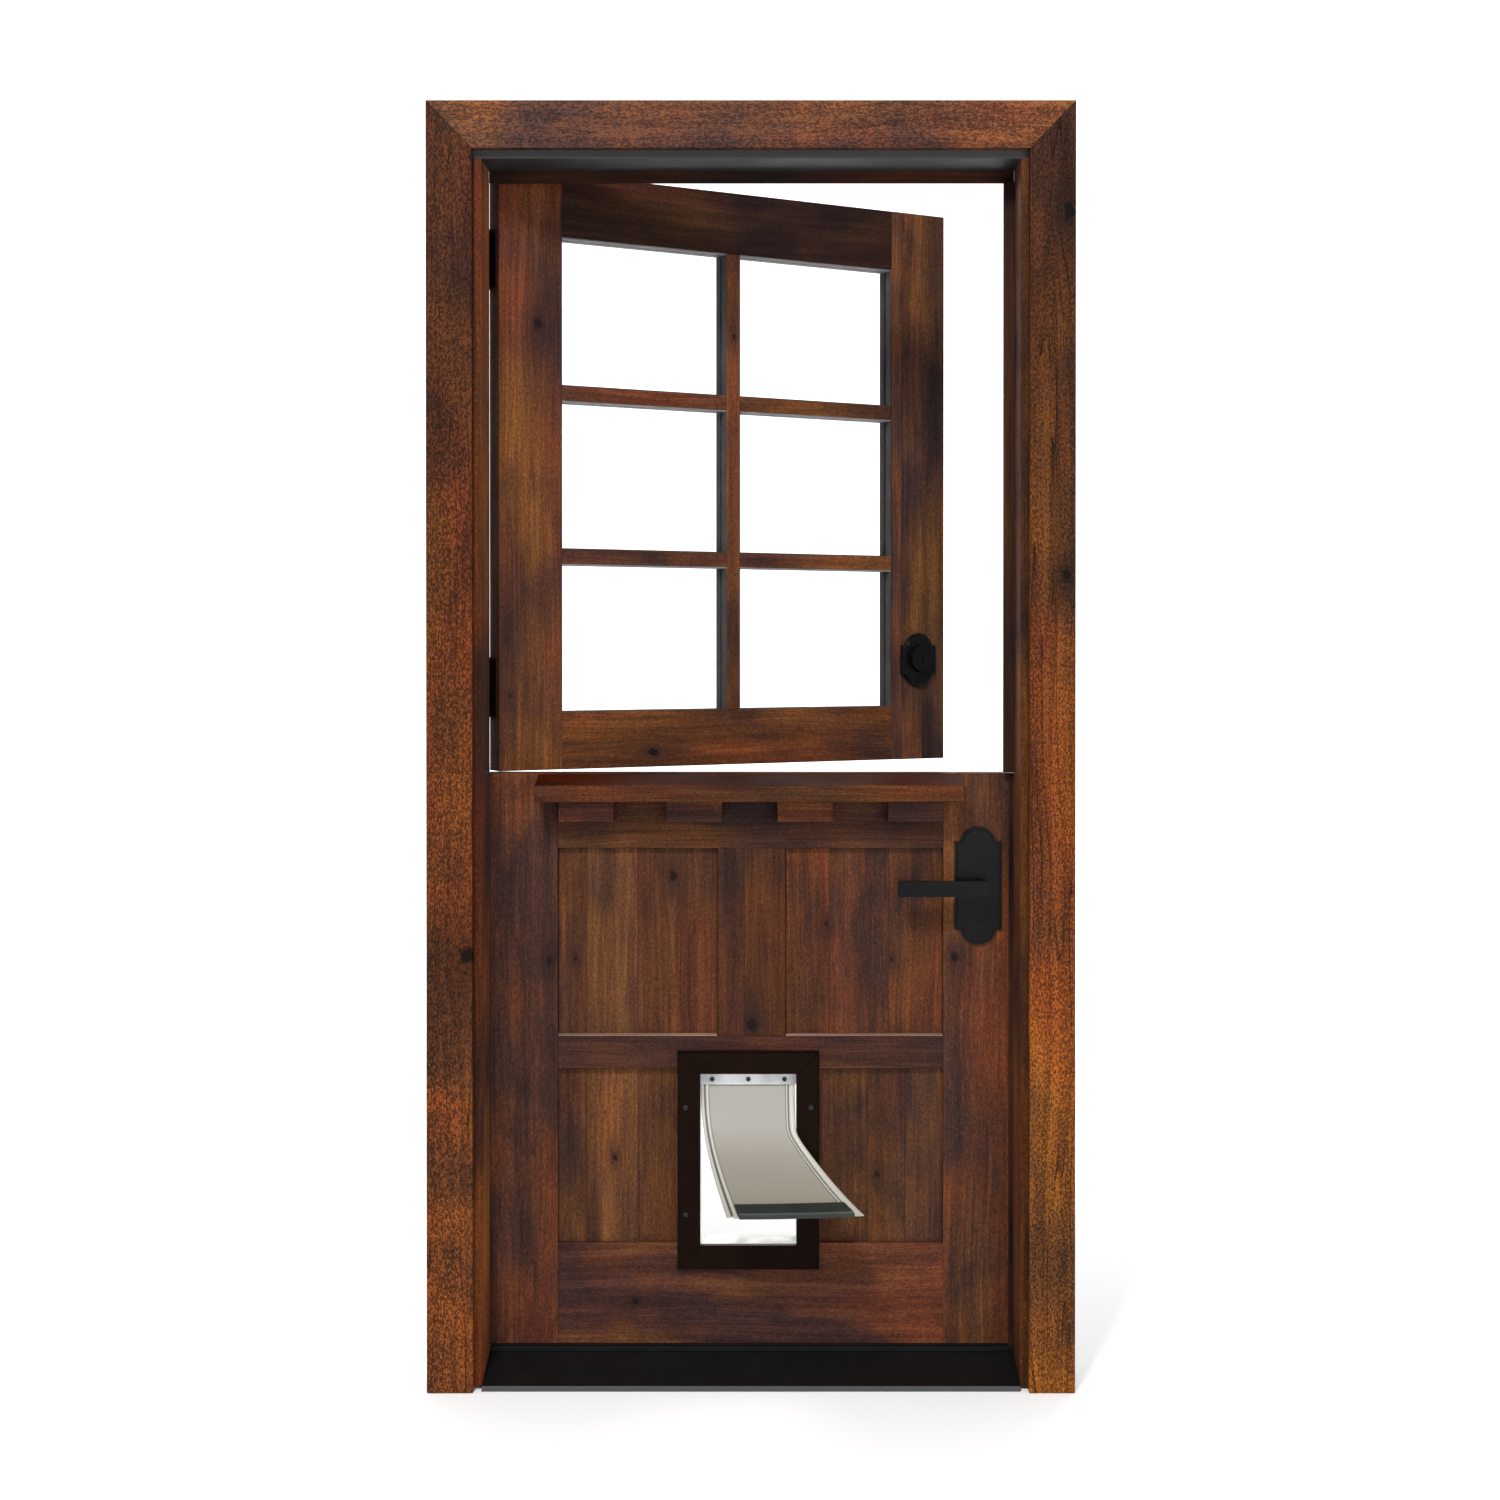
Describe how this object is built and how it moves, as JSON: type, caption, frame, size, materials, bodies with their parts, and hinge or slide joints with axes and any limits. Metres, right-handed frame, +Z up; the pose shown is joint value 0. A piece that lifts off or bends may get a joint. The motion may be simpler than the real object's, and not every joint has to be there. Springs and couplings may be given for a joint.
{
  "type": "dutch stable door",
  "caption": "Split stable door in its frame: glazed upper leaf standing ajar, panelled lower leaf with a shelf, a lever and a flexible pet flap.",
  "frame": {"origin": "middle of the doorway on the floor, in the plane where the casing meets the wall", "axes": "+X to the right seen from outside, +Y into the room, +Z up"},
  "size_m": [1.0742, 0.6642, 2.1388],
  "materials": {
    "casing_wood": "satin dark stain",
    "jamb_wood": "satin dark stain",
    "sill_black": "black anodised",
    "seal_rubber": "matte",
    "clear_glass": "clear",
    "pet_brown": "dark brown satin",
    "pet_liner": "matte",
    "flap_vinyl": "flexible vinyl, satin",
    "magnet_strip": "matte",
    "clamp_metal": "satin",
    "screw_dark": "dark",
    "bolt_steel": "brushed",
    "black_hardware": "satin black",
    "panel_wood": "satin dark stain",
    "upper_wood": "satin dark stain",
    "lower_wood": "satin dark stain"
  },
  "bodies": {
    "frame": {"casing_left": "casing_wood", "casing_right": "casing_wood", "casing_head": "casing_wood", "jamb_hinge": "jamb_wood", "jamb_strike": "jamb_wood", "jamb_head": "jamb_wood", "sill": "sill_black", "sill_cap": "seal_rubber", "seal_left": "seal_rubber", "seal_right_upper": "seal_rubber", "seal_right_lower": "seal_rubber", "seal_head": "seal_rubber", "strike_latch": "black_hardware", "strike_bolt": "black_hardware", "hinge_jamb_upper": "black_hardware", "hinge_jamb_lower": "black_hardware", "hinge_pins": "black_hardware"},
    "upper_leaf": {"hinge_leaf_upper": "black_hardware", "upper_stile_hinge": "upper_wood", "upper_stile_lock": "upper_wood", "upper_rail_top": "upper_wood", "upper_rail_bottom": "upper_wood", "glazing_bar_upright": "upper_wood", "glazing_bars_across": "upper_wood", "glass_panes": "clear_glass", "bolt_plate_out": "black_hardware", "bolt_cylinder": "black_hardware", "bolt_plate_in": "black_hardware", "bolt_faceplate": "black_hardware"},
    "thumb_turn_body": {"thumb_turn": "black_hardware"},
    "dead_bolt_body": {"dead_bolt": "bolt_steel"},
    "lower_leaf": {"hinge_leaf_lower": "black_hardware", "lower_stile_hinge": "lower_wood", "lower_stile_lock": "lower_wood", "lower_stile_centre": "lower_wood", "lower_rail_top": "lower_wood", "lower_rail_middle": "lower_wood", "lower_rail_bottom": "lower_wood", "panel_upper_left": "panel_wood", "panel_upper_right": "panel_wood", "panel_lower": "panel_wood", "shelf": "lower_wood", "shelf_blocks": "lower_wood", "door_sweep": "seal_rubber", "lever_plate_out": "black_hardware", "lever_plate_in": "black_hardware", "latch_faceplate": "black_hardware", "pet_frame_out": "pet_brown", "pet_frame_in": "pet_brown", "pet_tunnel": "pet_liner", "pet_screws": "screw_dark", "flap_clamp": "clamp_metal", "clamp_screws": "screw_dark"},
    "lever_body": {"lever_assembly": "black_hardware"},
    "latch_body": {"latch_bolt": "bolt_steel"},
    "flap_body": {"flap": "flap_vinyl", "flap_magnet": "magnet_strip"}
  },
  "joints": [
    {"name": "upper_swing", "type": "hinge", "parent": "frame", "child": "upper_leaf", "pos_m": [-0.4588, 0.156, 1.54], "axis": [0, 0, 1], "range_deg": [-29.4, 80.6]},
    {"name": "lower_swing", "type": "hinge", "parent": "frame", "child": "lower_leaf", "pos_m": [-0.4588, 0.156, 0.53], "axis": [0, 0, 1], "range_deg": [0, 110]},
    {"name": "flap_swing", "type": "hinge", "parent": "lower_leaf", "child": "flap_body", "pos_m": [-0.0055, 0.117, 0.4838], "axis": [1, 0, 0], "range_deg": [-15, 85]},
    {"name": "lever_turn", "type": "hinge", "parent": "lower_leaf", "child": "lever_body", "pos_m": [0.3872, 0.12725, 0.828], "axis": [0, 1, 0], "range_deg": [-45, 0], "stiffness_Nm_per_rad": 3, "springref_deg": 34.38},
    {"name": "thumb_turn", "type": "hinge", "parent": "upper_leaf", "child": "thumb_turn_body", "pos_m": [0.29015, 0.57055, 1.211], "axis": [-0.4909, 0.8712, 0], "range_deg": [0, 90]},
    {"name": "dead_bolt_slide", "type": "slide", "parent": "upper_leaf", "child": "dead_bolt_body", "axis": [0.8712, 0.4909, 0], "range_m": [0, 0.025]},
    {"name": "latch_slide", "type": "slide", "parent": "lower_leaf", "child": "latch_body", "axis": [1, 0, 0], "range_m": [-0.0118, 0]}
  ],
  "couplings": [
    {"joint": "dead_bolt_slide", "follows": "thumb_turn", "m_per_rad": 0.0159},
    {"joint": "latch_slide", "follows": "lever_turn", "m_per_rad": 0.0148}
  ]
}
